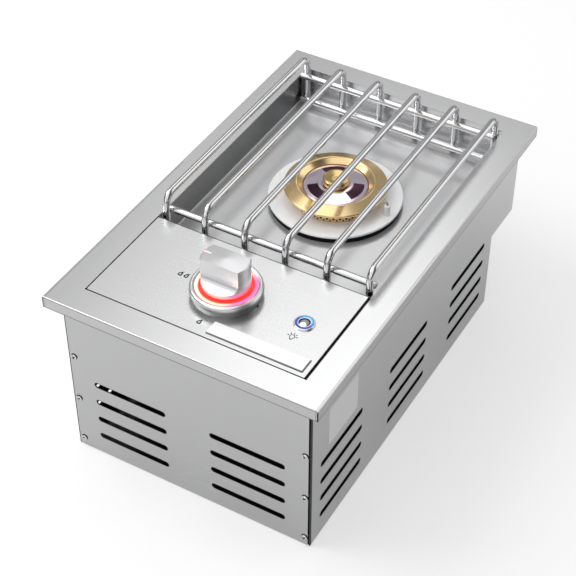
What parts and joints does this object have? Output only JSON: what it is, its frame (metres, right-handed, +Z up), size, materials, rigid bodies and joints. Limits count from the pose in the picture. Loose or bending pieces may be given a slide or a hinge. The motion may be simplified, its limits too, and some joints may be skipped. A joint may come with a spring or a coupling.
{
  "type": "built in side burner",
  "caption": "Drop-in stainless gas side burner: vented stepped case, rimmed top, rod grate over a brass ring burner, lit control knob and light button.",
  "frame": {"origin": "middle of the outline, on the underside of the case", "axes": "+X to the right hand of a cook who stands at the knob, +Y to the rear, +Z up"},
  "size_m": [0.32, 0.52, 0.271],
  "materials": {
    "brushed_stainless": "brushed stainless sheet",
    "tray_stainless": "smooth stainless sheet",
    "galvanised": "plain zinc plated sheet",
    "cast_aluminium": "cast, matt",
    "bright_steel": "polished",
    "dark_iron": "black enamel",
    "burner_brass": "turned, satin",
    "valve_brass": "plain machined",
    "spider_chrome": "bright pressed",
    "ceramic": "white glazed ceramic",
    "dark_steel": "plain steel",
    "satin_knob": "satin plated metal",
    "light_guide": "lit light guide",
    "blue_light_guide": "lit light guide",
    "switch_chrome": "bright nickel",
    "pipe_steel": "plain steel tube",
    "black_plastic": "fine texture",
    "cell_jacket": "plain dark jacket",
    "lead_silicone": "silicone sleeve",
    "lead_black": "soft jacket",
    "screw_steel": "plated",
    "polished_rod": "polished stainless rod"
  },
  "bodies": {
    "unit": {"battery_box": "black_plastic", "battery_cells": "cell_jacket", "bottom_panel": "brushed_stainless", "burner_bowl": "cast_aluminium", "burner_disc": "bright_steel", "burner_screws": "screw_steel", "burner_tray": "tray_stainless", "case_screws": "screw_steel", "control_panel": "brushed_stainless", "disc_spacer_ring": "dark_iron", "electrode_ceramic": "ceramic", "front_panel": "brushed_stainless", "gas_inlet_fitting": "valve_brass", "gas_jet": "valve_brass", "gas_pipe": "pipe_steel", "igniter_lead": "lead_silicone", "inlet_locknut": "valve_brass", "knob_bezel": "satin_knob", "knob_light_lead": "lead_black", "knob_light_ring": "light_guide", "left_panel_support": "galvanised", "left_side_panel": "brushed_stainless", "light_switch_body": "switch_chrome", "mixing_tube": "cast_aluminium", "rear_lower_panel": "brushed_stainless", "rear_pipe_nut": "valve_brass", "rear_upper_panel": "brushed_stainless", "right_panel_support": "galvanised", "right_side_panel": "brushed_stainless", "spark_rod": "dark_steel", "stem_spring": "dark_steel", "switch_lead": "lead_black", "switch_light_ring": "blue_light_guide", "switch_nut": "switch_chrome", "top_frame": "brushed_stainless", "valve_body": "valve_brass", "valve_bracket": "galvanised", "valve_cover": "cast_aluminium", "valve_pipe_nut": "valve_brass", "valve_screws": "screw_steel", "well_spider": "spider_chrome"},
    "stem_carrier": {"stem_collar": "dark_steel"},
    "knob": {"burner_knob": "satin_knob", "valve_stem": "dark_steel"},
    "gas_plug": {"valve_plug": "valve_brass"},
    "button": {"light_button": "switch_chrome"},
    "cooking_grate": {"grate_back_lower_rod": "polished_rod", "grate_back_upper_rod": "polished_rod", "grate_bar_1": "polished_rod", "grate_bar_2": "polished_rod", "grate_bar_3": "polished_rod", "grate_bar_4": "polished_rod", "grate_bar_5": "polished_rod", "grate_bar_6": "polished_rod", "grate_front_lower_rod": "polished_rod", "grate_front_upper_rod": "polished_rod"},
    "flame_ring": {"outer_flame_ring": "burner_brass"},
    "cap": {"centre_cap": "burner_brass"},
    "shutter": {"air_shutter": "galvanised"},
    "battery_lid": {"battery_box_lid": "black_plastic"}
  },
  "joints": [
    {"name": "knob_push", "type": "slide", "parent": "unit", "child": "stem_carrier", "axis": [0, 0, -1], "range_m": [0, 0.003], "stiffness_N_per_m": 1500, "springref_m": -0.004, "deforming": ["stem_spring"]},
    {"name": "knob_turn", "type": "hinge", "parent": "stem_carrier", "child": "knob", "pos_m": [0, -0.163, 0.223], "axis": [0, 0, 1], "range_deg": [-90, 90]},
    {"name": "plug_turn", "type": "hinge", "parent": "unit", "child": "gas_plug", "pos_m": [0, -0.163, 0.17], "axis": [0, 0, 1], "range_deg": [-90, 90]},
    {"name": "light_button_push", "type": "slide", "parent": "unit", "child": "button", "axis": [0, 0, -1], "range_m": [0, 0.002], "stiffness_N_per_m": 600, "springref_m": -0.002},
    {"name": "grate_lift", "type": "slide", "parent": "unit", "child": "cooking_grate", "axis": [0, 0, 1], "range_m": [0, 0.08]},
    {"name": "flame_ring_lift", "type": "slide", "parent": "unit", "child": "flame_ring", "axis": [0, 0, 1], "range_m": [0, 0.025]},
    {"name": "centre_cap_lift", "type": "slide", "parent": "unit", "child": "cap", "axis": [0, 0, 1], "range_m": [0, 0.015]},
    {"name": "air_shutter_turn", "type": "hinge", "parent": "unit", "child": "shutter", "pos_m": [0, -0.121, 0.165], "axis": [0, 1, 0], "range_deg": [0, 80]},
    {"name": "battery_lid_lift", "type": "slide", "parent": "unit", "child": "battery_lid", "axis": [0, 0, 1], "range_m": [0, 0.03]}
  ],
  "couplings": [
    {"joint": "plug_turn", "follows": "knob_turn", "ratio": 1}
  ]
}
